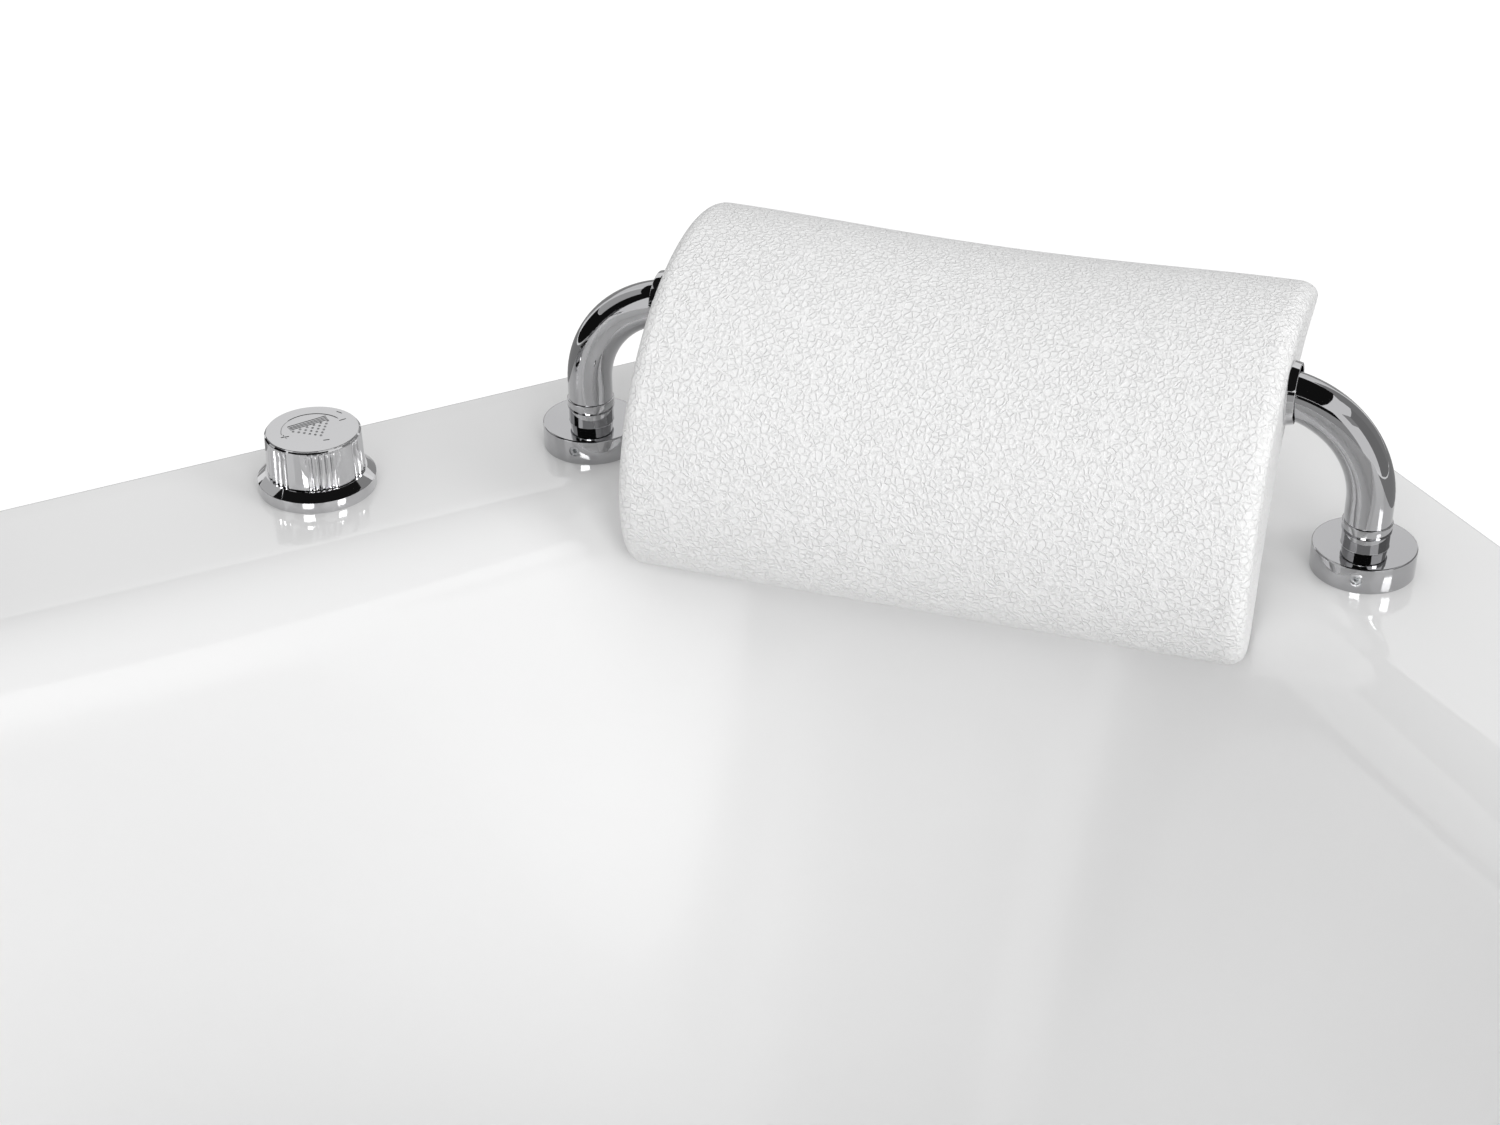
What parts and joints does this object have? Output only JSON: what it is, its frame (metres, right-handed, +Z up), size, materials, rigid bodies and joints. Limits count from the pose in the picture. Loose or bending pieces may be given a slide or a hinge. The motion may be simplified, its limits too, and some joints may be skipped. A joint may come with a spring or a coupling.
{
  "type": "corner bath",
  "caption": "White corner bath with a curved front apron, a chrome headrest rail with a padded pillow, and deck-mounted tap knobs, spout and hand shower.",
  "frame": {"origin": "on the floor under the middle of the bath's bounding box", "axes": "+Z up, +Y towards the corner where the two walls meet, the curved front towards -Y, +X to the right of a person facing the corner"},
  "size_m": [1.8902, 1.55, 0.8837],
  "materials": {
    "acrylic": "glossy white",
    "board_wood": "raw board",
    "frame_steel": "grey paint",
    "zinc_steel": "zinc plated",
    "rubber": "matt",
    "chrome": "polished",
    "drain_plastic": "plain",
    "rose_plastic": "plain",
    "valve_brass": "machined",
    "copper": "drawn copper tube",
    "pillow_skin": "fine grained"
  },
  "bodies": {
    "bath": {"tub_shell": "acrylic", "base_board": "board_wood", "front_apron": "acrylic", "apron_brackets": "frame_steel", "apron_screws": "zinc_steel", "frame_front_rail": "frame_steel", "frame_middle_rail": "frame_steel", "frame_spine_rail": "frame_steel", "frame_uprights": "frame_steel", "foot_rods": "zinc_steel", "foot_nuts": "zinc_steel", "foot_pads": "rubber", "waste_flange": "chrome", "waste_gasket": "rubber", "waste_body": "drain_plastic", "waste_outlet": "drain_plastic", "overflow_body": "drain_plastic", "overflow_face": "chrome", "overflow_pipe": "drain_plastic", "plug_cable": "zinc_steel", "headrest_rail": "chrome", "left_rosette": "chrome", "right_rosette": "chrome", "grub_screws": "zinc_steel", "rosette_studs": "zinc_steel", "rosette_nuts": "zinc_steel", "diverter_flange": "chrome", "diverter_body": "valve_brass", "diverter_locknut": "valve_brass", "mixer_flange": "chrome", "mixer_body": "valve_brass", "mixer_locknut": "valve_brass", "spout_base": "chrome", "spout_locknut": "valve_brass", "shower_socket": "chrome", "shower_locknut": "valve_brass", "mixed_water_pipe": "copper", "spout_pipe": "copper", "shower_pipe": "copper"},
    "pillow": {"pillow_sleeve": "drain_plastic", "headrest_pillow": "pillow_skin", "pillow_collars": "chrome"},
    "diverter_handle": {"diverter_spindle": "valve_brass", "diverter_knob": "chrome"},
    "mixer_handle": {"mixer_spindle": "valve_brass", "mixer_knob": "chrome"},
    "spout": {"bath_spout": "chrome"},
    "handset": {"shower_handset": "chrome", "shower_rose": "rose_plastic"},
    "plug": {"waste_plug": "chrome"},
    "overflow_handle": {"overflow_knob": "chrome"}
  },
  "joints": [
    {"name": "pillow_tilt", "type": "hinge", "parent": "bath", "child": "pillow", "pos_m": [0, 0.44355, 0.6995], "axis": [-1, 0, 0], "range_deg": [0, 20]},
    {"name": "diverter_turn", "type": "hinge", "parent": "bath", "child": "diverter_handle", "pos_m": [-0.35709, 0.34837, 0.6], "axis": [0, 0, 1], "range_deg": [0, 90]},
    {"name": "mixer_turn", "type": "hinge", "parent": "bath", "child": "mixer_handle", "pos_m": [-0.53811, 0.16735, 0.6], "axis": [0, 0, 1], "range_deg": [-45, 45]},
    {"name": "spout_swivel", "type": "hinge", "parent": "bath", "child": "spout", "pos_m": [-0.6371, 0.06836, 0.6], "axis": [0, 0, 1], "range_deg": [-40, 40]},
    {"name": "shower_lift", "type": "slide", "parent": "bath", "child": "handset", "axis": [0, 0, 1], "range_m": [0, 0.25]},
    {"name": "overflow_turn", "type": "hinge", "parent": "bath", "child": "overflow_handle", "pos_m": [0, -0.59772, 0.47], "axis": [0, 0.9946, 0.1037], "range_deg": [0, 90]},
    {"name": "plug_lift", "type": "slide", "parent": "bath", "child": "plug", "axis": [0, 0, 1], "range_m": [0, 0.01]}
  ],
  "couplings": [
    {"joint": "plug_lift", "follows": "overflow_turn", "m_per_rad": 0.0063662}
  ]
}
